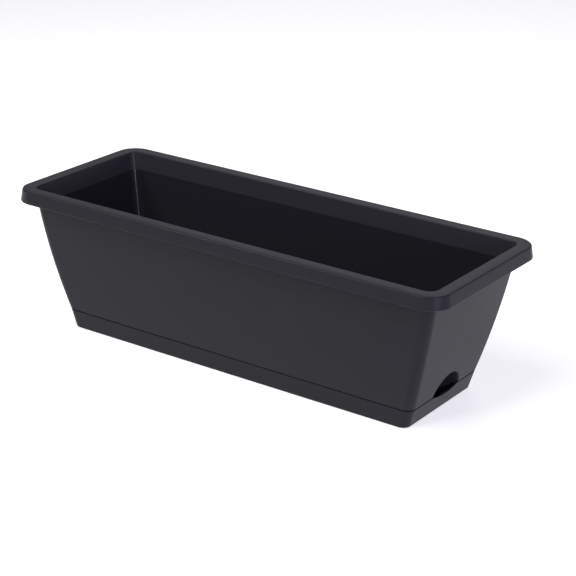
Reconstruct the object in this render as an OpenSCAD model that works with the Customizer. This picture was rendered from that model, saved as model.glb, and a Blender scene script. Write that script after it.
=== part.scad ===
// Trough planter for vegetables: a tapered pot with a turned-down rim, nested in a flush saucer.
// Both pieces are injection moulded. Units are millimetres.
// The origin is on the ground under the middle. +X runs along the length, the front looks to -Y, +Z is up.

/* [Overall] */
// Length over the rim
rim_l = 500; // [380:5:800]
// Width over the rim
rim_w = 190; // [160:1:260]
// Height from the ground to the top of the rim
height = 150; // [110:1:220]

/* [Rim] */
// Corner radius of the rim, seen from above
rim_corner_r = 23.5; // [14:0.5:30]
// Thickness of the rim's top plate
rim_t = 2.2; // [1.6:0.1:3.5]
// Width of the flat land on top of the rim
rim_land_w = 10.4; // [7:0.1:14]
// Rounding between the land and the skirt
rim_edge_r = 2; // [1.5:0.1:4]
// Rounding of the inner edge of the land
rim_inner_r = 1.2; // [0.6:0.1:1.8]
// Height of the skirt that hangs from the rim
skirt_h = 13; // [11.5:0.5:25]
// Thickness of the skirt
skirt_t = 2; // [1.4:0.1:3]
// How far the skirt flares out on its way down
skirt_flare = 2; // [0.4:0.1:3]
// Rounding of the skirt's lower edge
skirt_edge_r = 1; // [0.5:0.1:1.2]
// Thickness of the gussets between the skirt and the wall
gusset_t = 1.6; // [1:0.1:3]
// Height of the gussets
gusset_h = 9; // [4:0.5:10]
// Distance between gussets along the long sides
gusset_pitch = 62; // [30:1:120]

/* [Pot walls] */
// Thickness of the walls
wall_t = 2.5; // [2:0.1:4]
// Thickness that the walls thin down to at the rim
collar_t = 1.7; // [1.2:0.1:1.9]
// Depth below the top of the rim at which the walls start to thin
collar_h = 19; // [14:0.5:30]
// How far each end wall leans in, from the rim down to the saucer
end_taper = 28.4; // [12:0.2:40]
// How far the front and back walls lean in, from the rim down to the saucer
side_taper = 18; // [10:0.2:26]
// Outward bow of the walls at mid height
wall_bow = 2.2; // [0:0.1:3]
// Corner radius of the walls just under the rim
corner_top_r = 11.6; // [9:0.2:18]
// Corner radius of the walls where they meet the saucer
corner_base_r = 9.4; // [8:0.2:12]

/* [Pot base] */
// Thickness of the spigot wall that drops into the saucer
spigot_t = 2.2; // [1.6:0.1:3]
// Gap all round between the spigot and the saucer
spigot_gap = 0.5; // [0.3:0.1:1]
// Thickness of the pot's floor
floor_t = 2.4; // [1.8:0.1:3.5]
// Height of the pot's floor above the saucer's floor
floor_rise = 7.4; // [5:0.2:8]
// Rounding where the floor turns up into the spigot
floor_edge_r = 3.6; // [2:0.2:4]
// Outer radius of a hollow foot at the floor
foot_r = 13; // [9:0.5:16]
// Thickness of a foot's wall
foot_t = 2; // [1.4:0.1:3]
// How much narrower a foot is at its tip
foot_taper = 1.5; // [0.5:0.1:3]
// Width of the water slots across a foot
slot_w = 3; // [2:0.2:5]
// Height of the water slots above the tip of a foot
slot_h = 4; // [2:0.2:4.5]
// Distance wanted between feet along the pot
foot_pitch = 105; // [60:1:160]
// Distance of each row of feet from the middle
foot_row_y = 33; // [22:0.5:36]
// Distance from the ends of the floor to the nearest feet
foot_end_in = 44; // [36:0.5:70]
// Radius of a drain hole
drain_r = 4; // [2.5:0.25:6]

/* [Watering scoops] */
// Half width of a scoop's arch at the saucer
scoop_w = 23.5; // [14:0.5:28]
// Height of the arch above the saucer
scoop_h = 19; // [14:0.5:32]
// Depth of a scoop at the saucer
scoop_depth = 16; // [10:0.5:18]
// Depth of the dip in the saucer's edge under each scoop
lip_dip = 2.8; // [1:0.1:5]

/* [Saucer] */
// Height of the seam between pot and saucer above the ground
seam_z = 20.5; // [17:0.5:30]
// Width of the shadow gap at the seam
seam_gap = 1; // [0.3:0.1:1.5]
// Thickness of the saucer's wall
saucer_t = 2; // [1.6:0.1:2.6]
// Thickness of the saucer's floor
saucer_floor_t = 2; // [1.6:0.1:3]
// How far the saucer's ends lean in, from the seam down to its floor
saucer_end_taper = 5.7; // [1:0.1:8]
// How far the saucer's front and back lean in, from the seam down to its floor
saucer_side_taper = 2.5; // [0.6:0.1:5]
// Rounding of the saucer's lower edge
saucer_edge_r = 1.2; // [1:0.1:4]
// Height of the pads under the saucer
pad_h = 0.6; // [0.4:0.1:2]
// Radius of a pad
pad_r = 6; // [4:0.5:9]
// Distance of the pads from the edge of the saucer's floor
pad_in = 14; // [11:0.5:24]
// Height of the ribs on the saucer's floor
rib_h = 1.4; // [0.6:0.1:2.5]
// Thickness of the ribs
rib_t = 1.8; // [1:0.1:3]
// Distance from the saucer's floor edge to the ends of the ribs
rib_end_in = 8; // [4:0.5:16]
// Play between the tips of the feet and the saucer's floor
seat_gap = 0.2; // [0.1:0.1:0.4]

/* [Hidden] */

// Facets: segments in each rounded corner, rings up each wall, and degrees between rings on a rounded edge
arc_n = 10;
wall_rings = 9;
edge_step = 30;
$fn = 48;
// Overlap that makes joined or cut shapes meet cleanly
eps = 0.3;

anthracite = "#38373c";

// Heights
land_z = height;
rim_under_z = height - rim_t;
skirt_z = height - skirt_h;
collar_z = height - collar_h;
saucer_rim_z = seam_z - seam_gap;
tray_z = pad_h + saucer_floor_t;
foot_tip_z = tray_z + seat_gap;
floor_under_z = tray_z + floor_rise;
floor_z = floor_under_z + floor_t;

// Half length and half width of the walls' outer face, under the rim's plate
land_in = skirt_flare + rim_edge_r + rim_land_w + rim_inner_r;
wall_hl = rim_l / 2 - land_in + collar_t;
wall_hw = rim_w / 2 - land_in + collar_t;

function mix(a, b, t) = a + (b - a) * t;

// A station is [half length, half width, corner radius, height]. inset() draws one in on all sides.
function inset(s, d) = [s[0] - d, s[1] - d, max(s[2] - d, 1), s[3]];
function at_z(s, z) = [s[0], s[1], s[2], z];

// Outer face of the pot's wall at a height
function wall_at(z) =
    let (t = (rim_under_z - z) / (rim_under_z - seam_z), bow = 4 * wall_bow * t * (1 - t))
    [wall_hl - end_taper * t + bow, wall_hw - side_taper * t + bow, mix(corner_top_r, corner_base_r, t), z];

// Outer face of the saucer at a height: flush with the pot's wall at the seam
function saucer_at(z) =
    let (t = (seam_z - z) / (seam_z - pad_h), seam = wall_at(seam_z))
    [seam[0] - saucer_end_taper * t, seam[1] - saucer_side_taper * t, seam[2] - t, z];

function saucer_inside(z) = inset(saucer_at(z), saucer_t);
function spigot_at(z) = inset(saucer_inside(z), spigot_gap);

// Outer face of the skirt at a height. It reaches the full length and width just above its lower edge.
function rim_at(z) =
    let (d = skirt_flare * (z - skirt_z - skirt_edge_r) / (skirt_h - skirt_edge_r))
    [rim_l / 2 - d, rim_w / 2 - d, rim_corner_r - d, z];

// Stations up a quarter round that starts flat below and ends upright
function round_up(top, r) =
    [for (a = [0:edge_step:90 - edge_step]) at_z(inset(top, r * (1 - sin(a))), top[3] - r * cos(a))];

floor_hl = spigot_at(floor_under_z)[0];
floor_hw = spigot_at(floor_under_z)[1];

pot_outside = concat(
    round_up(spigot_at(floor_under_z + floor_edge_r), floor_edge_r),
    [spigot_at(floor_under_z + floor_edge_r), spigot_at(seam_z)],
    [for (i = [0:wall_rings]) wall_at(mix(seam_z, rim_under_z, i / wall_rings))],
    [for (z = [rim_under_z, skirt_z]) inset(rim_at(z), skirt_t)],
    round_up(rim_at(skirt_z + skirt_edge_r), skirt_edge_r),
    [rim_at(skirt_z + skirt_edge_r)],
    [for (a = [0:edge_step:90])
        at_z(inset(rim_at(land_z - rim_edge_r), rim_edge_r * (1 - cos(a))), land_z - rim_edge_r * (1 - sin(a)))]
);

pot_inside = concat(
    round_up(inset(spigot_at(floor_z + floor_edge_r), spigot_t), floor_edge_r),
    [inset(spigot_at(floor_z + floor_edge_r), spigot_t), inset(spigot_at(seam_z), spigot_t)],
    [for (i = [0:wall_rings])
        inset(wall_at(mix(seam_z + floor_edge_r, collar_z, i / wall_rings)), wall_t)],
    [for (a = [0:edge_step:90])
        at_z(inset(wall_at(land_z - rim_inner_r), collar_t - rim_inner_r * (1 - cos(a))),
             land_z - rim_inner_r * (1 - sin(a)))],
    [at_z(inset(wall_at(land_z - rim_inner_r), collar_t - rim_inner_r), land_z + eps)]
);

saucer_outside = concat(
    round_up(saucer_at(pad_h + saucer_edge_r), saucer_edge_r),
    [for (z = [pad_h + saucer_edge_r, saucer_rim_z]) saucer_at(z)]
);

saucer_hollow = concat(
    round_up(saucer_inside(tray_z + saucer_edge_r), saucer_edge_r),
    [for (z = [tray_z + saucer_edge_r, saucer_rim_z, saucer_rim_z + eps]) saucer_inside(z)]
);

// A scoop is a ball on top of an upright cylinder. It cuts the leaning end wall in an arch that is
// scoop_w wide each way and scoop_h high, and reaches scoop_depth deep at the seam.
seam_hl = wall_at(seam_z)[0];
scoop_lean = (wall_at(seam_z + scoop_h)[0] - seam_hl) / scoop_h;
scoop_out = (scoop_w * scoop_w - scoop_depth * scoop_depth) / (2 * scoop_depth);
scoop_drop = (scoop_w * scoop_w / scoop_h - scoop_h * (1 + scoop_lean * scoop_lean)) / 2
    + scoop_lean * scoop_out;
scoop_r = norm([scoop_w, scoop_out, scoop_drop]);
scoop_x = seam_hl + scoop_out;
dip_r = (scoop_w * scoop_w + lip_dip * lip_dip) / (2 * lip_dip);

// Feet stand in two rows, evenly spaced. Drain holes and the saucer's ribs lie half way between them.
foot_span = 2 * (floor_hl - foot_end_in);
foot_cols = max(2, round(foot_span / foot_pitch) + 1);
foot_dx = foot_span / (foot_cols - 1);
foot_xs = [for (i = [0:foot_cols - 1]) -foot_span / 2 + i * foot_dx];
bay_xs = [for (i = [0:foot_cols - 2]) -foot_span / 2 + (i + 0.5) * foot_dx];

// Closed solid through a list of stations, listed from the bottom outwards and up
module loft(stations) {
    n = 4 * (arc_n + 1);
    function ring(s) = [
        for (c = [0:3], i = [0:arc_n])
            let (a = 90 * (c + i / arc_n), sx = (c == 0 || c == 3) ? 1 : -1, sy = c < 2 ? 1 : -1)
            [sx * (s[0] - s[2]) + s[2] * cos(a), sy * (s[1] - s[2]) + s[2] * sin(a), s[3]]
    ];
    top = n * (len(stations) - 1);
    sides = [
        for (k = [0:len(stations) - 2], i = [0:n - 1], half = [0, 1])
            let (a = k * n + i, b = k * n + (i + 1) % n)
            half == 0 ? [a, a + n, b + n] : [a, b + n, b]
    ];
    polyhedron(
        points = [for (s = stations) each ring(s)],
        faces = concat([[for (i = [0:n - 1]) i]], sides, [[for (i = [n - 1:-1:0]) top + i]]),
        convexity = 8);
}

module scoops(grow) {
    for (side = [-1, 1])
        translate([side * scoop_x, 0, seam_z - scoop_drop]) {
            sphere(r = scoop_r + grow);
            translate([0, 0, -seam_z])
                cylinder(h = seam_z, r = scoop_r + grow);
        }
}

// Plates that tie the skirt to the long walls, out of sight under the rim
module gussets() {
    count = max(1, round((wall_hl - end_taper) * 2 / gusset_pitch));
    heights = [rim_under_z - gusset_h, rim_under_z + eps];
    outline = concat([for (z = heights) [rim_at(z)[1] - skirt_t / 2, z]],
                     [for (z = [heights[1], heights[0]]) [wall_at(z)[1] - collar_t / 2, z]]);
    for (turn = [0, 180], i = [0:count])
        rotate(turn)
            translate([(i / count - 0.5) * count * gusset_pitch, 0, 0])
                rotate([90, 0, 90])
                    linear_extrude(gusset_t, center = true)
                        polygon(outline);
}

module foot_shells() {
    for (x = foot_xs, side = [-1, 1])
        translate([x, side * foot_row_y, foot_tip_z])
            cylinder(h = floor_under_z - foot_tip_z + eps, r1 = foot_r - foot_taper, r2 = foot_r);
}

// The hollow of each foot opens up into the soil, and two crossed slots let water in at its tip
module foot_hollows() {
    slot_l = 2 * foot_r + eps;
    for (x = foot_xs, side = [-1, 1])
        translate([x, side * foot_row_y, foot_tip_z]) {
            translate([0, 0, foot_t])
                cylinder(h = floor_z - foot_tip_z - foot_t + eps,
                         r1 = foot_r - foot_taper - foot_t, r2 = foot_r - foot_t);
            for (turn = [0, 90])
                rotate(turn)
                    translate([-slot_l / 2, -slot_w / 2, -eps])
                        cube([slot_l, slot_w, slot_h + eps]);
        }
}

module drain_holes() {
    for (x = bay_xs, row = [-1, 0, 1])
        translate([x, row * foot_row_y, floor_under_z - eps])
            cylinder(h = floor_t + 2 * eps, r = drain_r);
}

module pot() {
    color(anthracite)
        difference() {
            union() {
                loft(pot_outside);
                gussets();
                foot_shells();
            }
            difference() {
                loft(pot_inside);
                scoops(wall_t);
            }
            scoops(0);
            foot_hollows();
            drain_holes();
        }
}

// Low ribs that stiffen the saucer's floor in the bays between the pot's feet
module saucer_ribs() {
    rib_hw = saucer_inside(tray_z + rib_h)[1] - saucer_edge_r - rib_end_in;
    for (x = bay_xs)
        translate([x - rib_t / 2, -rib_hw, tray_z - eps])
            cube([rib_t, 2 * rib_hw, rib_h + eps]);
}

module saucer_pads() {
    pad_x = saucer_at(pad_h)[0] - pad_in;
    pad_y = saucer_at(pad_h)[1] - pad_in;
    for (x = [-pad_x, 0, pad_x], side = [-1, 1])
        translate([x, side * pad_y, 0])
            cylinder(h = pad_h + eps, r = pad_r);
}

// A shallow arc out of each end of the saucer's edge, as wide as the scoop above it
module lip_dips() {
    depth = saucer_t + scoop_depth;
    for (side = [-1, 1])
        translate([side * seam_hl, 0, saucer_rim_z - lip_dip + dip_r])
            rotate([0, 90, 0])
                cylinder(h = depth, r = dip_r, center = true, $fn = 180);
}

module saucer() {
    color(anthracite)
        difference() {
            union() {
                difference() {
                    loft(saucer_outside);
                    loft(saucer_hollow);
                }
                saucer_ribs();
                saucer_pads();
            }
            lip_dips();
        }
}

pot();
saucer();
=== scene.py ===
# Trough planter for vegetables: a moulded trough that stands in a flush saucer.
from math import atan, atan2, cos, pi, radians, sin, sqrt

import bmesh
import bpy
from mathutils import Matrix, Vector


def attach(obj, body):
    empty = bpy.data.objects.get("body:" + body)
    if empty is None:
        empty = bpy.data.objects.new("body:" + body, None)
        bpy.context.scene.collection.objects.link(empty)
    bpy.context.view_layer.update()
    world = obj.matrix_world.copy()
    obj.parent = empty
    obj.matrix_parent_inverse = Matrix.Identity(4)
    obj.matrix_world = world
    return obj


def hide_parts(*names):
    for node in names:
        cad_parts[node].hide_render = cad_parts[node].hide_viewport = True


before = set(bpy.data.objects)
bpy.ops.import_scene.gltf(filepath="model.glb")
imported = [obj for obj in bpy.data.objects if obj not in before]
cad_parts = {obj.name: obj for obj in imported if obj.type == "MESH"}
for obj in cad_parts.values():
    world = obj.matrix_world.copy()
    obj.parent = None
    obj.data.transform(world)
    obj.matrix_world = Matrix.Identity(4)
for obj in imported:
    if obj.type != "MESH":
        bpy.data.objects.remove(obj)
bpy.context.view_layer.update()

MM = 0.001

# The camera looks slightly down on the front and the right end, from far off with a long lens.
# Its place is worked out from the planter's outline in the photograph.
CAMERA_YAW = radians(34.87)
CAMERA_ELEVATION = radians(21.68)
CAMERA_ROLL = radians(0.97)
CAMERA_DISTANCE = 1736.6 * MM
CAMERA_RIGHT = 21.28 * MM
CAMERA_UP = -2.34 * MM
CAMERA_LENS = 109.87
CAMERA_AIM_Z = 75 * MM

camera_data = bpy.data.cameras.new("photo_camera")
camera_data.lens = CAMERA_LENS
camera_data.sensor_width = 36
camera = bpy.data.objects.new("photo_camera", camera_data)
bpy.context.scene.collection.objects.link(camera)
camera_turn = (Matrix.Rotation(CAMERA_YAW, 3, "Z") @ Matrix.Rotation(pi / 2 - CAMERA_ELEVATION, 3, "X")
               @ Matrix.Rotation(CAMERA_ROLL, 3, "Z"))
camera_place = Vector((0, 0, CAMERA_AIM_Z)) + camera_turn @ Vector((CAMERA_RIGHT, CAMERA_UP, CAMERA_DISTANCE))
camera.matrix_world = Matrix.Translation(camera_place) @ camera_turn.to_4x4()
bpy.context.scene.camera = camera
bpy.context.scene.view_settings.view_transform = "Standard"


# The studio is a white floor in a dim grey room. Only the eye and reflections see the floor's glow and the
# room's grey. The glow makes the floor pure white, and the planter's shadow stays on it.
FLOOR_SIZE = 12
FLOOR_COLOUR = "#f4f4f4"
FLOOR_GLOW = 0.58
ROOM_COLOUR = "#fbfaff"
ROOM_LIGHT = 0.06
ROOM_SEEN = 0.38


def linear(hex_colour):
    """The linear colour, with alpha, of an sRGB hex value."""
    parts = [int(hex_colour[i:i + 2], 16) / 255 for i in (1, 3, 5)]
    return [p / 12.92 if p < 0.04045 else ((p + 0.055) / 1.055) ** 2.4 for p in parts] + [1.0]


def add_node(tree, kind, sockets, **properties):
    """Adds a node. sockets gives each input socket a plain value, or the output socket that feeds it."""
    node = tree.nodes.new(kind)
    for name, value in properties.items():
        setattr(node, name, value)
    for name, value in sockets.items():
        if isinstance(value, bpy.types.NodeSocket):
            tree.links.new(value, node.inputs[name])
        else:
            node.inputs[name].default_value = value
    return node


def seen_from(tree):
    """1 for the rays of the eye, of reflections and of see-through things, and 0 for the rest."""
    path = add_node(tree, "ShaderNodeLightPath", {})
    seen = path.outputs["Is Camera Ray"]
    for kind in ("Is Glossy Ray", "Is Transmission Ray"):
        either = add_node(tree, "ShaderNodeMath", {0: seen, 1: path.outputs[kind]}, operation="MAXIMUM")
        seen = either.outputs[0]
    return seen


world = bpy.data.worlds.new("studio_sky")
world.use_nodes = True
sky = world.node_tree
sky.nodes.clear()
sky_strength = add_node(sky, "ShaderNodeMapRange",
                        {"Value": seen_from(sky), "To Min": ROOM_LIGHT, "To Max": ROOM_SEEN})
sky_light = add_node(sky, "ShaderNodeBackground",
                     {"Color": linear(ROOM_COLOUR), "Strength": sky_strength.outputs[0]})
add_node(sky, "ShaderNodeOutputWorld", {"Surface": sky_light.outputs[0]})
bpy.context.scene.world = world

bpy.ops.object.select_all(action="DESELECT")
bpy.ops.mesh.primitive_plane_add(size=FLOOR_SIZE)
floor = bpy.context.object
floor.name = "studio_floor"
floor_paint = bpy.data.materials.new("studio_floor_paint")
floor_paint.use_nodes = True
paint = floor_paint.node_tree
paint.nodes.clear()
matt = add_node(paint, "ShaderNodeBsdfDiffuse", {"Color": linear(FLOOR_COLOUR)})
glow = add_node(paint, "ShaderNodeEmission", {"Strength": FLOOR_GLOW})
lit = add_node(paint, "ShaderNodeAddShader", {0: matt.outputs[0], 1: glow.outputs[0]})
shown = add_node(paint, "ShaderNodeMixShader", {0: seen_from(paint), 1: matt.outputs[0], 2: lit.outputs[0]})
add_node(paint, "ShaderNodeOutputMaterial", {"Surface": shown.outputs[0]})
floor.data.materials.append(floor_paint)


# The main light comes from the front left and from above. Cooler lamps stand at the right, where the strip
# draws the bright line down a corner, and weaker ones stand behind.
LAMP_AIM = 0.1
LAMP_REACH = 2.0


def softbox(name, colour, turn, rise, width, depth, power):
    """A rectangular lamp aimed at the planter's middle. It is turned round from the front towards the right,
    and raised, by angles in degrees. Its sizes are in metres."""
    data = bpy.data.lights.new(name, "AREA")
    data.shape = "RECTANGLE"
    data.size = width
    data.size_y = depth
    data.energy = power
    data.color = linear(colour)[:3]
    lamp = bpy.data.objects.new(name, data)
    turn, rise = radians(turn), radians(rise)
    toward = Vector((sin(turn) * cos(rise), -cos(turn) * cos(rise), sin(rise)))
    lamp.location = Vector((0, 0, LAMP_AIM)) + LAMP_REACH * toward
    lamp.rotation_mode = "QUATERNION"
    lamp.rotation_quaternion = toward.to_track_quat("Z", "Y")
    bpy.context.scene.collection.objects.link(lamp)


softbox("front_left_softbox", "#ffffff", -45, 42, 0.35, 0.5, 13.5)
softbox("front_softbox", "#ffffff", -10, 30, 0.6, 0.5, 8.5)
softbox("overhead_softbox", "#ffffff", -8, 64, 1.0, 1.0, 12)
softbox("right_strip", "#e4e0ff", 66, 10, 0.16, 0.5, 14)
softbox("right_softbox", "#e6e2ff", 72, 50, 0.4, 0.5, 7)
softbox("back_right_softbox", "#ecebff", 140, 6, 0.8, 0.4, 2)
softbox("back_softbox", "#ffffff", 190, 46, 0.8, 0.6, 4)
softbox("back_window", "#f0eeff", 190, 20, 2.4, 0.9, 1.5)


# The pot is one injection moulding in polypropylene. Its walls rise from a spigot that drops into the saucer,
# thin out in a collar near the top, and fold over into a rim that is open underneath.
RIM_LENGTH = 500
RIM_WIDTH = 190
HEIGHT = 150
RIM_CORNER_R = 23.5
RIM_THICK = 2.2
LAND_WIDTH = 10.4
RIM_EDGE_R = 2
RIM_INNER_R = 1.2
RIM_ROOT_R = 1
SKIRT_HEIGHT = 13
SKIRT_THICK = 2
SKIRT_FLARE = 2
SKIRT_EDGE_R = 1
SKIRT_INNER_R = 0.7
WALL_THICK = 2.5
COLLAR_THICK = 1.7
COLLAR_DEPTH = 19
COLLAR_BEND = 4
END_TAPER = 28.4
SIDE_TAPER = 18
WALL_BOW = 2.2
CORNER_TOP_R = 11.6
CORNER_BASE_R = 9.4
LEAST_CORNER_R = 1
SEAM_Z = 20.5
SEAM_EDGE_R = 0.4
SPIGOT_THICK = 2.2
SPIGOT_GAP = 0.5
FLOOR_THICK = 2.4
FLOOR_RISE = 7.4
FLOOR_EDGE_R = 3.6
PAD_HEIGHT = 0.6
SAUCER_THICK = 2
SAUCER_FLOOR_THICK = 2
SAUCER_END_TAPER = 5.7
SAUCER_SIDE_TAPER = 2.5
SAUCER_CORNER_TAPER = 1
CORNER_STEPS = 20
WALL_STEPS = 14
BEND_STEPS = 4

rim_under_z = HEIGHT - RIM_THICK
skirt_z = HEIGHT - SKIRT_HEIGHT
collar_z = HEIGHT - COLLAR_DEPTH
tray_z = PAD_HEIGHT + SAUCER_FLOOR_THICK
floor_under_z = tray_z + FLOOR_RISE
floor_z = floor_under_z + FLOOR_THICK
land_in = SKIRT_FLARE + RIM_EDGE_R + LAND_WIDTH + RIM_INNER_R
wall_half_length = RIM_LENGTH / 2 - land_in + COLLAR_THICK
wall_half_width = RIM_WIDTH / 2 - land_in + COLLAR_THICK


def wall_at(z):
    """The loop round the outer face of the pot's wall: half length, half width, corner radius, height."""
    down = (rim_under_z - z) / (rim_under_z - SEAM_Z)
    bow = 4 * WALL_BOW * down * (1 - down)
    return (wall_half_length - END_TAPER * down + bow, wall_half_width - SIDE_TAPER * down + bow,
            CORNER_TOP_R + (CORNER_BASE_R - CORNER_TOP_R) * down, z)


def saucer_at(z):
    """The loop round the outer face of the saucer, flush with the pot's wall at the seam."""
    down = (SEAM_Z - z) / (SEAM_Z - PAD_HEIGHT)
    seam = wall_at(SEAM_Z)
    return (seam[0] - SAUCER_END_TAPER * down, seam[1] - SAUCER_SIDE_TAPER * down,
            seam[2] - SAUCER_CORNER_TAPER * down, z)


def rim_at(z):
    """The loop round the outer face of the rim's skirt, widest just above its lower edge."""
    back = SKIRT_FLARE * (z - skirt_z - SKIRT_EDGE_R) / (SKIRT_HEIGHT - SKIRT_EDGE_R)
    return RIM_LENGTH / 2 - back, RIM_WIDTH / 2 - back, RIM_CORNER_R - back, z


def inside_at(z):
    """The loop round the inner face of the pot's wall, which bends softly out where it starts to thin."""
    above = z - collar_z
    if abs(above) < COLLAR_BEND:
        above = (above + COLLAR_BEND) ** 2 / (4 * COLLAR_BEND)
    thinned = max(above, 0) / (COLLAR_DEPTH - RIM_INNER_R)
    return inset(wall_at(z), WALL_THICK + (COLLAR_THICK - WALL_THICK) * thinned)


def inset(loop, distance, z=None):
    """The loop drawn in on all sides, and moved to another height where one is given."""
    corner_r = max(loop[2] - distance, LEAST_CORNER_R)
    return loop[0] - distance, loop[1] - distance, corner_r, loop[3] if z is None else z


def spigot_at(z):
    """The loop round the outer face of the spigot, just inside the saucer's wall."""
    return inset(saucer_at(z), SAUCER_THICK + SPIGOT_GAP)


UP = 1
DOWN = -1


def rounded(loop, r, way, steps, hollow=False):
    """Loops round a quarter turn of radius r, from upright at the loop to flat, going up or down.
    A solid edge turns in towards the middle, and a hollow one turns out."""
    out = -1 if hollow else 1
    turns = [pi / 2 * i / steps for i in range(steps + 1)]
    return [inset(loop, out * r * (1 - cos(a)), loop[3] + way * r * sin(a)) for a in turns]


def draw_up(name, loops):
    """A closed skin through loops. It starts as a circle, and for each loop its open edge is extruded and
    the four quarters are moved out or in and turned wider or tighter."""
    half_step = pi / (4 * CORNER_STEPS)
    start_r = loops[0][2]
    bpy.ops.object.select_all(action="DESELECT")
    bpy.ops.mesh.primitive_circle_add(vertices=4 * CORNER_STEPS, radius=start_r / cos(half_step) * MM,
                                      location=(0, 0, loops[0][3] * MM), rotation=(0, 0, half_step))
    piece = bpy.context.object
    piece.name = piece.data.name = name
    bpy.ops.object.transform_apply()
    bpy.ops.object.mode_set(mode="EDIT")
    old = (start_r, start_r, start_r, loops[0][3])
    for number, loop in enumerate(loops):
        if number:
            bpy.ops.mesh.extrude_edges_move()
        mesh = bmesh.from_edit_mesh(piece.data)
        edge = [v for v in mesh.verts if v.select]
        for side_x, side_y in ((1, 1), (-1, 1), (-1, -1), (1, -1)):
            for v in edge:
                v.select = v.co.x * side_x > 0 and v.co.y * side_y > 0
            mesh.select_flush_mode()
            before = Vector((side_x * (old[0] - old[2]), side_y * (old[1] - old[2]), old[3]))
            after = Vector((side_x * (loop[0] - loop[2]), side_y * (loop[1] - loop[2]), loop[3]))
            widen = loop[2] / old[2]
            bpy.ops.transform.resize(value=(widen, widen, 1), center_override=before * MM)
            bpy.ops.transform.translate(value=(after - before) * MM)
            for v in edge:
                v.select = False
        for v in edge:
            v.select = True
        mesh.select_flush_mode()
        if number in (0, len(loops) - 1):
            bpy.ops.mesh.edge_face_add()
        old = loop
    bpy.ops.mesh.select_all(action="SELECT")
    bpy.ops.mesh.normals_make_consistent(inside=False)
    bpy.ops.object.mode_set(mode="OBJECT")
    return piece


# The pot's skin goes up the outside, over the rim and its skirt, and down the inside to the floor.
pot_loops = list(reversed(rounded(spigot_at(floor_under_z + FLOOR_EDGE_R), FLOOR_EDGE_R, DOWN, steps=5)))
pot_loops += [spigot_at(SEAM_Z)]
wall_foot = SEAM_Z + SEAM_EDGE_R
pot_loops += reversed(rounded(wall_at(wall_foot), SEAM_EDGE_R, DOWN, steps=3))
wall_top = rim_under_z - RIM_ROOT_R
for i in range(1, WALL_STEPS + 1):
    pot_loops += [wall_at(wall_foot + (wall_top - wall_foot) * i / WALL_STEPS)]
pot_loops += rounded(wall_at(wall_top), RIM_ROOT_R, UP, steps=3, hollow=True)[1:]
pot_loops += reversed(rounded(inset(rim_at(wall_top), SKIRT_THICK), RIM_ROOT_R, UP, steps=3))
skirt_inner = inset(rim_at(skirt_z + SKIRT_INNER_R), SKIRT_THICK)
pot_loops += rounded(skirt_inner, SKIRT_INNER_R, DOWN, steps=3, hollow=True)
pot_loops += reversed(rounded(rim_at(skirt_z + SKIRT_EDGE_R), SKIRT_EDGE_R, DOWN, steps=4))
pot_loops += [rim_at(skirt_z + SKIRT_HEIGHT / 2)]
pot_loops += rounded(rim_at(HEIGHT - RIM_EDGE_R), RIM_EDGE_R, UP, steps=8)
mouth = inset(wall_at(HEIGHT - RIM_INNER_R), COLLAR_THICK)
pot_loops += reversed(rounded(mouth, RIM_INNER_R, UP, steps=4, hollow=True))
for i in range(2 * BEND_STEPS + 1):
    pot_loops += [inside_at(collar_z + COLLAR_BEND * (1 - i / BEND_STEPS))]
bend_foot = collar_z - COLLAR_BEND
inner_foot = SEAM_Z + FLOOR_EDGE_R
for i in range(1, WALL_STEPS):
    pot_loops += [inside_at(bend_foot + (inner_foot - bend_foot) * i / (WALL_STEPS - 1))]
pot_loops += [inset(spigot_at(SEAM_Z), SPIGOT_THICK)]
pot_loops += rounded(inset(spigot_at(floor_z + FLOOR_EDGE_R), SPIGOT_THICK), FLOOR_EDGE_R, DOWN, steps=5)
pot = draw_up("moulded_pot", pot_loops)


# Watering scoops are moulded into both ends: a dome pressed into the leaning wall, tangent to an open throat
# that runs down through the floor, so that a can's spout fills the saucer. Their edges are well rounded,
# which makes the arch half a millimetre wider and higher than the bare cut.
SCOOP_HALF_WIDTH = 23
SCOOP_HEIGHT = 18.5
SCOOP_DEPTH = 16
SCOOP_EDGE_R = 1.5
SCOOP_ROOT_R = 2
SCOOP_STEPS = 72
FILLET_STEPS = 5
NEARLY_FLAT = radians(10)
CLEAR = 3
CLEAR_OUT = 0.5
HOUSING_IN = 1
HOUSING_FOOT_IN = 2.5

seam_half_length = wall_at(SEAM_Z)[0]
lean = (wall_at(SEAM_Z + SCOOP_HEIGHT)[0] - seam_half_length) / SCOOP_HEIGHT
scoop_out = (SCOOP_HALF_WIDTH ** 2 - SCOOP_DEPTH ** 2) / (2 * SCOOP_DEPTH)
scoop_drop = (SCOOP_HALF_WIDTH ** 2 / SCOOP_HEIGHT - SCOOP_HEIGHT * (1 + lean ** 2)) / 2 + lean * scoop_out
scoop_r = sqrt(SCOOP_HALF_WIDTH ** 2 + scoop_out ** 2 + scoop_drop ** 2)
scoop_centre = Vector((seam_half_length + scoop_out, 0, SEAM_Z - scoop_drop))
lean_angle = atan(lean)
face_depth = scoop_out * cos(lean_angle) + scoop_drop * sin(lean_angle)


def cut(piece, tool, how):
    """Cuts a piece with a tool, joins the two, or keeps what they share. The tool is used up."""
    bpy.ops.object.select_all(action="DESELECT")
    bpy.context.view_layer.objects.active = piece
    piece.select_set(True)
    modifier = piece.modifiers.new("cut", "BOOLEAN")
    modifier.object = tool
    modifier.operation = how
    modifier.solver = "EXACT"
    bpy.ops.object.modifier_apply(modifier=modifier.name)
    bpy.data.objects.remove(tool)


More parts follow.
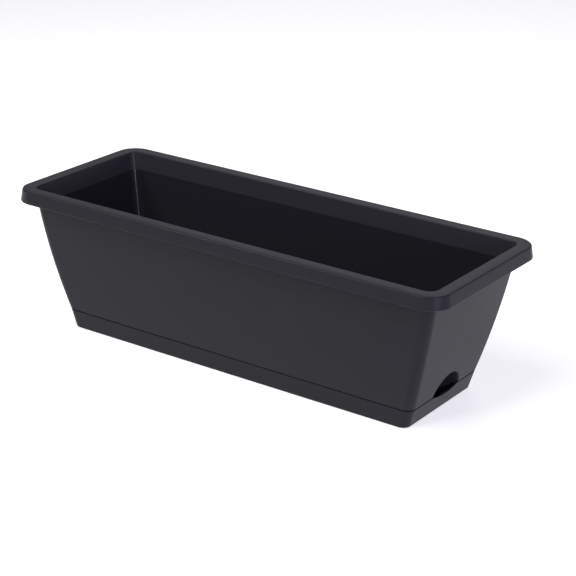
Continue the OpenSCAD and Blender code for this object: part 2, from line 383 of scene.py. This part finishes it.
def copies(piece, places):
    """Joins copies of a piece, one for each matrix, in metres."""
    bpy.ops.object.select_all(action="DESELECT")
    for place in places:
        twin = piece.copy()
        twin.data = piece.data.copy()
        twin.data.transform(place)
        bpy.context.scene.collection.objects.link(twin)
        twin.select_set(True)
        bpy.context.view_layer.objects.active = twin
    bpy.data.objects.remove(piece)
    bpy.ops.object.join()
    return bpy.context.object


def dome(r, face_depth, fillet_r):
    """A ball cut off where it meets a flat face, with a fillet that flares out to the face and past it.
    Its axis is Z, and the face lies face_depth below the middle of the ball."""
    fillet_z = -face_depth - fillet_r
    fillet_out = sqrt((r + fillet_r) ** 2 - fillet_z ** 2)
    meeting = atan2(fillet_out, -fillet_z)
    bpy.ops.object.select_all(action="DESELECT")
    bpy.ops.mesh.primitive_uv_sphere_add(segments=SCOOP_STEPS, ring_count=SCOOP_STEPS // 2, radius=r * MM)
    tool = bpy.context.object
    bpy.ops.object.mode_set(mode="EDIT")
    bpy.ops.mesh.select_all(action="SELECT")
    bpy.ops.mesh.bisect(plane_co=(0, 0, -r * cos(meeting) * MM), plane_no=(0, 0, 1), clear_outer=True)
    profile = [(r * sin(meeting), -r * cos(meeting))]
    for i in range(1, FILLET_STEPS + 1):
        turn = -meeting + (meeting - NEARLY_FLAT) * i / FILLET_STEPS
        profile.append((fillet_out + fillet_r * sin(turn), fillet_z + fillet_r * cos(turn)))
    profile.append((profile[-1][0] + CLEAR_OUT, profile[-1][1] + CLEAR))
    for (out, z), (next_out, next_z) in zip(profile, profile[1:]):
        bpy.ops.mesh.extrude_edges_move()
        widen = next_out / out
        bpy.ops.transform.resize(value=(widen, widen, 1), center_override=(0, 0, z * MM))
        bpy.ops.transform.translate(value=(0, 0, (next_z - z) * MM))
    bpy.ops.mesh.edge_face_add()
    bpy.ops.mesh.select_all(action="SELECT")
    bpy.ops.mesh.normals_make_consistent(inside=False)
    bpy.ops.object.mode_set(mode="OBJECT")
    return tool


def at_both_ends(tool, place, tilt=0):
    """A tool at a place at the right end, tilted about Y, and its twin at the left end."""
    right = Matrix.Translation(place * MM) @ Matrix.Rotation(tilt, 4, "Y")
    return copies(tool, [right, Matrix.Rotation(pi, 4, "Z") @ right])


def throat(r):
    """The upright throat below a scoop's dome."""
    bpy.ops.object.select_all(action="DESELECT")
    bpy.ops.mesh.primitive_cylinder_add(vertices=SCOOP_STEPS, radius=r * MM, depth=SEAM_Z * MM,
                                        location=(0, 0, -SEAM_Z / 2 * MM))
    bpy.ops.object.transform_apply()
    return bpy.context.object


outward = pi / 2 + lean_angle
housing = at_both_ends(dome(scoop_r + WALL_THICK, face_depth + WALL_THICK * cos(lean_angle), SCOOP_ROOT_R),
                       scoop_centre, outward)
cut(housing, at_both_ends(throat(scoop_r + WALL_THICK), scoop_centre), "UNION")
# The part of each housing that stands out past the pot's walls and spigot is taken off.
within_walls = [inset(spigot_at(floor_under_z + HOUSING_IN), HOUSING_FOOT_IN)]
within_walls += [inset(spigot_at(z), HOUSING_IN) for z in (floor_under_z + FLOOR_EDGE_R, SEAM_Z + HOUSING_IN)]
for z in (SEAM_Z + HOUSING_IN, SEAM_Z + SCOOP_HEIGHT / 2, SEAM_Z + 2 * SCOOP_HEIGHT):
    within_walls += [inset(wall_at(z), HOUSING_IN)]
cut(housing, draw_up("within_walls", within_walls), "INTERSECT")
cut(pot, housing, "UNION")
cut(pot, at_both_ends(dome(scoop_r, face_depth, SCOOP_EDGE_R), scoop_centre, outward), "DIFFERENCE")
cut(pot, at_both_ends(throat(scoop_r), scoop_centre), "DIFFERENCE")


# The pot's floor stands on hollow feet, each a tapered cup with crossed water slots in its tip. Drain holes
# lie between the feet.
FOOT_R = 13
FOOT_THICK = 2
FOOT_TAPER = 1.5
FOOT_EDGE_R = 1
SLOT_WIDTH = 3
SLOT_HEIGHT = 4
FOOT_PITCH = 105
FOOT_ROW_Y = 33
FOOT_END_IN = 44
DRAIN_R = 4
SEAT_GAP = 0.2
HOLE_STEPS = 40
OVERLAP = 1
PICK_MARGIN = 0.1

foot_tip_z = tray_z + SEAT_GAP
foot_span = 2 * (spigot_at(floor_under_z)[0] - FOOT_END_IN)
foot_gaps = max(1, round(foot_span / FOOT_PITCH))
foot_xs = [-foot_span / 2 + foot_span * i / foot_gaps for i in range(foot_gaps + 1)]
bay_xs = [(one + other) / 2 for one, other in zip(foot_xs, foot_xs[1:])]
foot_places = [Matrix.Translation((x * MM, y * MM, 0)) for x in foot_xs for y in (-FOOT_ROW_Y, FOOT_ROW_Y)]
drain_places = [Matrix.Translation((x * MM, y * MM, 0)) for x in bay_xs for y in (-FOOT_ROW_Y, 0, FOOT_ROW_Y)]


def cone(r_low, r_high, z_low, z_high):
    """An upright cone between two heights."""
    bpy.ops.object.select_all(action="DESELECT")
    bpy.ops.mesh.primitive_cone_add(vertices=HOLE_STEPS, radius1=r_low * MM, radius2=r_high * MM,
                                    depth=(z_high - z_low) * MM, location=(0, 0, (z_low + z_high) / 2 * MM))
    bpy.ops.object.transform_apply()
    return bpy.context.object


def bar(length, width, z_low, z_high):
    """A square bar along X between two heights."""
    bpy.ops.object.select_all(action="DESELECT")
    bpy.ops.mesh.primitive_cube_add(size=1, location=(0, 0, (z_low + z_high) / 2 * MM),
                                    scale=(length * MM, width * MM, (z_high - z_low) * MM))
    bpy.ops.object.transform_apply()
    return bpy.context.object


foot = cone(FOOT_R - FOOT_TAPER, FOOT_R, foot_tip_z, floor_under_z + OVERLAP)
bpy.ops.object.mode_set(mode="EDIT")
bpy.ops.mesh.select_all(action="DESELECT")
mesh = bmesh.from_edit_mesh(foot.data)
for v in mesh.verts:
    v.select = v.co.z < (foot_tip_z + PICK_MARGIN) * MM
mesh.select_flush_mode()
bpy.ops.mesh.bevel(offset=FOOT_EDGE_R * MM, segments=3)
bpy.ops.object.mode_set(mode="OBJECT")
cut(pot, copies(foot, foot_places), "UNION")
hollow_r = FOOT_R - FOOT_THICK
hollow = cone(hollow_r - FOOT_TAPER, hollow_r, foot_tip_z + FOOT_THICK, floor_z + OVERLAP)
cut(pot, copies(hollow, foot_places), "DIFFERENCE")
slot_length = 2 * FOOT_R + OVERLAP
slot = bar(slot_length, SLOT_WIDTH, foot_tip_z - OVERLAP, foot_tip_z + SLOT_HEIGHT)
cross_slot = bar(slot_length, SLOT_WIDTH, foot_tip_z - 2 * OVERLAP, foot_tip_z + SLOT_HEIGHT)
cross_slot.data.transform(Matrix.Rotation(pi / 2, 4, "Z"))
cut(slot, cross_slot, "UNION")
cut(pot, copies(slot, foot_places), "DIFFERENCE")
drain = cone(DRAIN_R, DRAIN_R, floor_under_z - OVERLAP, floor_z + OVERLAP)
cut(pot, copies(drain, drain_places), "DIFFERENCE")


# Gussets moulded under the rim tie its skirt to the long walls.
GUSSET_THICK = 1.6
GUSSET_HEIGHT = 9
GUSSET_PITCH = 62
GUSSET_OVERLAP = 0.5

gusset_root = wall_at(rim_under_z - GUSSET_HEIGHT)[1] - COLLAR_THICK / 2
gusset_reach = RIM_WIDTH / 2 - SKIRT_THICK
gusset_count = round((wall_half_length - END_TAPER) * 2 / GUSSET_PITCH)
gusset = bar(GUSSET_THICK, gusset_reach - gusset_root,
             rim_under_z - GUSSET_HEIGHT, rim_under_z + GUSSET_OVERLAP)
gusset_xs = [(i - gusset_count / 2) * GUSSET_PITCH for i in range(gusset_count + 1)]
gusset_y = (gusset_reach + gusset_root) / 2
gusset_places = [Matrix.Translation((x * MM, y * MM, 0)) for x in gusset_xs for y in (-gusset_y, gusset_y)]
cut(pot, copies(gusset, gusset_places), "UNION")


# The saucer is a second moulding in the same plastic. Its wall carries on the pot's wall below the seam,
# it stands on six pads, and ribs stiffen its floor. Its lip dips under each scoop.
SEAM_GAP = 1
LIP_R = 0.5
SAUCER_EDGE_R = 1.2
LIP_DIP = 2.8
DIP_COLUMNS = 60
END_ZONE = 12
PAD_R = 6
PAD_IN = 14
RIB_HEIGHT = 1.4
RIB_THICK = 1.8
RIB_END_IN = 8

lip_z = SEAM_Z - SEAM_GAP


def saucer_inside(z):
    """The loop round the inner face of the saucer's wall."""
    return inset(saucer_at(z), SAUCER_THICK)


saucer_loops = list(reversed(rounded(saucer_at(PAD_HEIGHT + SAUCER_EDGE_R), SAUCER_EDGE_R, DOWN, steps=5)))
saucer_loops += [saucer_at(lip_z - 2 * LIP_DIP), saucer_at(lip_z - LIP_DIP)]
saucer_loops += rounded(saucer_at(lip_z - LIP_R), LIP_R, UP, steps=3)
saucer_loops += reversed(rounded(saucer_inside(lip_z - LIP_R), LIP_R, UP, steps=3, hollow=True))
saucer_loops += [saucer_inside(lip_z - LIP_DIP), saucer_inside(lip_z - 2 * LIP_DIP)]
saucer_loops += rounded(saucer_inside(tray_z + SAUCER_EDGE_R), SAUCER_EDGE_R, DOWN, steps=5)
saucer = draw_up("moulded_saucer", saucer_loops)

# The lip's dips: the long faces across both ends are divided into columns, whose tops then go down an arc.
bpy.ops.object.mode_set(mode="EDIT")
bpy.ops.mesh.select_mode(type="EDGE")
mesh = bmesh.from_edit_mesh(saucer.data)
for e in mesh.edges:
    one, other = (v.co / MM for v in e.verts)
    e.select = min(abs(one.x), abs(other.x)) > seam_half_length - END_ZONE and one.y * other.y < 0
bmesh.update_edit_mesh(saucer.data)
bpy.ops.mesh.subdivide(number_cuts=DIP_COLUMNS - 1)
bpy.ops.mesh.select_mode(type="VERT")
dip_r = (SCOOP_HALF_WIDTH ** 2 + LIP_DIP ** 2) / (2 * LIP_DIP)
mesh = bmesh.from_edit_mesh(saucer.data)
columns = {}
for v in mesh.verts:
    v.select = False
    if abs(v.co.x) > (seam_half_length - END_ZONE) * MM and v.co.z > (lip_z - LIP_DIP + PICK_MARGIN) * MM:
        columns.setdefault(round(v.co.y / MM, 1), []).append(v)
mesh.select_flush_mode()
for y, column in columns.items():
    if abs(y) < SCOOP_HALF_WIDTH:
        for v in column:
            v.select = True
        mesh.select_flush_mode()
        bpy.ops.transform.translate(value=(0, 0, (dip_r - LIP_DIP - sqrt(dip_r ** 2 - y ** 2)) * MM))
        for v in column:
            v.select = False
        mesh.select_flush_mode()
bpy.ops.object.mode_set(mode="OBJECT")

rib_half_length = saucer_inside(tray_z + RIB_HEIGHT)[1] - SAUCER_EDGE_R - RIB_END_IN
rib_places = [Matrix.Translation((x * MM, 0, 0)) @ Matrix.Rotation(pi / 2, 4, "Z") for x in bay_xs]
rib = bar(2 * rib_half_length, RIB_THICK, tray_z - OVERLAP, tray_z + RIB_HEIGHT)
cut(saucer, copies(rib, rib_places), "UNION")
pad_x = saucer_at(PAD_HEIGHT)[0] - PAD_IN
pad_y = saucer_at(PAD_HEIGHT)[1] - PAD_IN
pad_places = [Matrix.Translation((x * MM, y * MM, 0)) for x in (-pad_x, 0, pad_x) for y in (-pad_y, pad_y)]
cut(saucer, copies(cone(PAD_R, PAD_R, 0, PAD_HEIGHT + OVERLAP), pad_places), "UNION")


# Both mouldings are anthracite polypropylene, coloured right through. To the eye it is a dark grey with a
# violet cast, a fine grain and a satin sheen. The collar inside the rim is painted a little paler, a painted
# sheen for the light it catches. The inside below it is smoother, so that its highlights are narrower, and
# it is painted darker, a painted shade for the shade deep in the trough.
TONE_DARK = "#242327"
TONE_PALE = "#27262b"
# The collar's paler tone is a painted sheen, for the light that its satin face catches from the front lamps.
COLLAR_PAINTED_SHEEN = "#2d2c31"
# The inside's darker tone is painted shade, for the shade deep in the trough.
INSIDE_PAINTED_SHADE = "#212025"
REFRACTION = 1.49
SPECULAR_LEVEL = 0.12
GRAIN_SIZE = 0.7 * MM
GRAIN_DEPTH = 0.006 * MM
FLOW_SIZE = 45 * MM
FINISH_EDGE = 1.2
OUTSIDE_ROUGHNESS = 0.36
INSIDE_ROUGHNESS = 0.21
ROUGHNESS_SPREAD = 0.02

moulded = bpy.data.materials.new("moulded_polypropylene")
moulded.use_nodes = True
plastic = moulded.node_tree
plastic.nodes.clear()
coords = add_node(plastic, "ShaderNodeTexCoord", {})
place = coords.outputs["Object"]
sideways = add_node(plastic, "ShaderNodeVectorMath", {0: place, 1: (1, 1, 0)}, operation="MULTIPLY")
outward_part = add_node(plastic, "ShaderNodeVectorMath",
                        {0: coords.outputs["Normal"], 1: sideways.outputs[0]}, operation="DOT_PRODUCT")
faces_in = add_node(plastic, "ShaderNodeMath", {0: outward_part.outputs["Value"], 1: 0.0},
                    operation="LESS_THAN")
place_z = add_node(plastic, "ShaderNodeSeparateXYZ", {0: place})
below = add_node(plastic, "ShaderNodeMapRange",
                 {"Value": place_z.outputs["Z"], "From Min": (collar_z + FINISH_EDGE) * MM,
                  "From Max": (collar_z - FINISH_EDGE) * MM}, interpolation_type="SMOOTHSTEP")
# This mask marks the inside below the collar: it gets the smoother finish and the painted shade.
smoother_and_painted_shade_mask = add_node(plastic, "ShaderNodeMath", {0: faces_in.outputs[0], 1: below.outputs[0]},
                    operation="MULTIPLY")
flow = add_node(plastic, "ShaderNodeTexNoise", {"Vector": place, "Scale": 1 / FLOW_SIZE, "Detail": 2.0})
grain = add_node(plastic, "ShaderNodeTexNoise", {"Vector": place, "Scale": 1 / GRAIN_SIZE, "Detail": 1.0})
tone = add_node(plastic, "ShaderNodeMix", {"Factor": flow.outputs["Fac"], "A": linear(TONE_DARK),
                                           "B": linear(TONE_PALE)}, data_type="RGBA")
# Painted sheen: the collar inside the rim, above the smoother inside, is mixed towards the paler tone.
collar_painted_sheen_mask = add_node(plastic, "ShaderNodeMath", {0: faces_in.outputs[0], 1: smoother_and_painted_shade_mask.outputs[0]},
                  operation="SUBTRACT")
collar_with_painted_sheen = add_node(plastic, "ShaderNodeMix", {"Factor": collar_painted_sheen_mask.outputs[0], "A": tone.outputs["Result"],
                                            "B": linear(COLLAR_PAINTED_SHEEN)}, data_type="RGBA")
# Painted shade: the inside below the collar is mixed towards the darker tone.
body = add_node(plastic, "ShaderNodeMix", {"Factor": smoother_and_painted_shade_mask.outputs[0], "A": collar_with_painted_sheen.outputs["Result"],
                                           "B": linear(INSIDE_PAINTED_SHADE)}, data_type="RGBA")
sheen = add_node(plastic, "ShaderNodeMapRange",
                 {"Value": smoother_and_painted_shade_mask.outputs[0], "To Min": OUTSIDE_ROUGHNESS, "To Max": INSIDE_ROUGHNESS})
unevenness = add_node(plastic, "ShaderNodeMapRange",
                      {"Value": flow.outputs["Fac"], "To Min": -ROUGHNESS_SPREAD, "To Max": ROUGHNESS_SPREAD})
rough = add_node(plastic, "ShaderNodeMath", {0: sheen.outputs[0], 1: unevenness.outputs[0]}, operation="ADD")
texture = add_node(plastic, "ShaderNodeBump", {"Height": grain.outputs["Fac"], "Distance": GRAIN_DEPTH})
shader = add_node(plastic, "ShaderNodeBsdfPrincipled",
                  {"Base Color": body.outputs["Result"], "Roughness": rough.outputs[0],
                   "Normal": texture.outputs["Normal"], "IOR": REFRACTION,
                   "Specular IOR Level": SPECULAR_LEVEL})
add_node(plastic, "ShaderNodeOutputMaterial", {"Surface": shader.outputs[0]})

SHARP = radians(35)
for piece, node in ((pot, "pot"), (saucer, "saucer")):
    bpy.ops.object.select_all(action="DESELECT")
    bpy.context.view_layer.objects.active = piece
    piece.select_set(True)
    piece.data.materials.clear()
    piece.data.materials.append(moulded)
    bpy.ops.object.shade_smooth_by_angle(angle=SHARP)
    bpy.ops.object.modifier_add(type="WEIGHTED_NORMAL")
    piece.modifiers[-1].keep_sharp = True
    bpy.ops.object.modifier_apply(modifier=piece.modifiers[-1].name)
    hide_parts(node)
    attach(piece, node)
